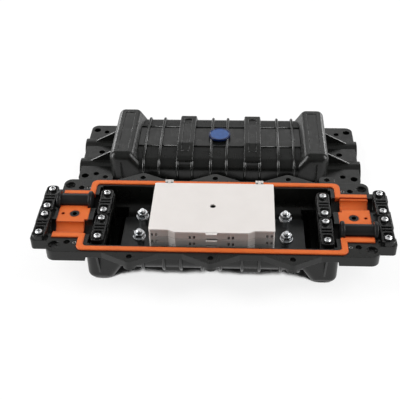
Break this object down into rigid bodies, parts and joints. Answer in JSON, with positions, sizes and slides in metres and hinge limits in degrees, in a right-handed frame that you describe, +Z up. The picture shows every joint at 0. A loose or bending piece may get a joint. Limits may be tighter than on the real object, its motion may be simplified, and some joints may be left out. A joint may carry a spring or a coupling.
{
  "type": "inline splice closure",
  "caption": "Opened inline fibre splice closure: ribbed base with silicone seal, cable clamps, posts and a hinged tray stack, and its cover lying face down behind.",
  "frame": {"origin": "floor level, midway between the base half in front and the cover half behind", "axes": "+X along the closure to the picture's right, +Y from the base to the cover, +Z up"},
  "size_m": [0.467, 0.3892, 0.0762],
  "materials": {
    "shell": "semi-matte moulded black",
    "silicone": "soft satin silicone",
    "plug": "turned black",
    "clamp": "moulded black",
    "zinc": "bright zinc",
    "bracket": "satin dark grey",
    "tray": "moulded light grey",
    "holder": "soft dark grey",
    "lid": "moulded off-white",
    "badge": "plain blue"
  },
  "bodies": {
    "closure": {"base_shell": "shell", "cover_shell": "shell", "base_seal": "silicone", "cover_port_seal_left": "silicone", "cover_port_seal_right": "silicone", "port_plug_left": "plug", "port_plug_right": "plug", "outer_clamp_screws": "zinc", "inner_clamp_screws": "zinc", "bracket_screws": "zinc", "inner_saddle_left": "shell", "inner_saddle_right": "shell", "corner_inserts": "zinc", "tray_bracket": "bracket", "post_studs": "zinc", "post_collars": "zinc", "post_washers": "zinc", "post_nuts": "zinc", "cover_badge": "badge", "outer_clamp_left_front": "clamp", "outer_clamp_left_rear": "clamp", "outer_clamp_right_front": "clamp", "outer_clamp_right_rear": "clamp", "inner_clamp_left_front": "clamp", "inner_clamp_left_rear": "clamp", "inner_clamp_right_front": "clamp", "inner_clamp_right_rear": "clamp", "splice_tray_1": "tray", "splice_holder_1": "holder"},
    "tray_2": {"splice_tray_2": "tray", "splice_holder_2": "holder"},
    "tray_3": {"splice_tray_3": "tray", "splice_holder_3": "holder"},
    "tray_4": {"splice_tray_4": "tray", "splice_holder_4": "holder"},
    "lid": {"tray_lid": "lid"}
  },
  "joints": [
    {"name": "tray_2_hinge", "type": "hinge", "parent": "closure", "child": "tray_2", "pos_m": [0, -0.0503, 0.0408], "axis": [-1, 0, 0], "range_deg": [0, 15]},
    {"name": "tray_3_hinge", "type": "hinge", "parent": "tray_2", "child": "tray_3", "pos_m": [0, -0.0503, 0.0518], "axis": [-1, 0, 0], "range_deg": [0, 15]},
    {"name": "tray_4_hinge", "type": "hinge", "parent": "tray_3", "child": "tray_4", "pos_m": [0, -0.0503, 0.0628], "axis": [-1, 0, 0], "range_deg": [0, 40]},
    {"name": "lid_hinge", "type": "hinge", "parent": "tray_4", "child": "lid", "pos_m": [0, -0.0503, 0.0738], "axis": [-1, 0, 0], "range_deg": [0, 95]}
  ]
}
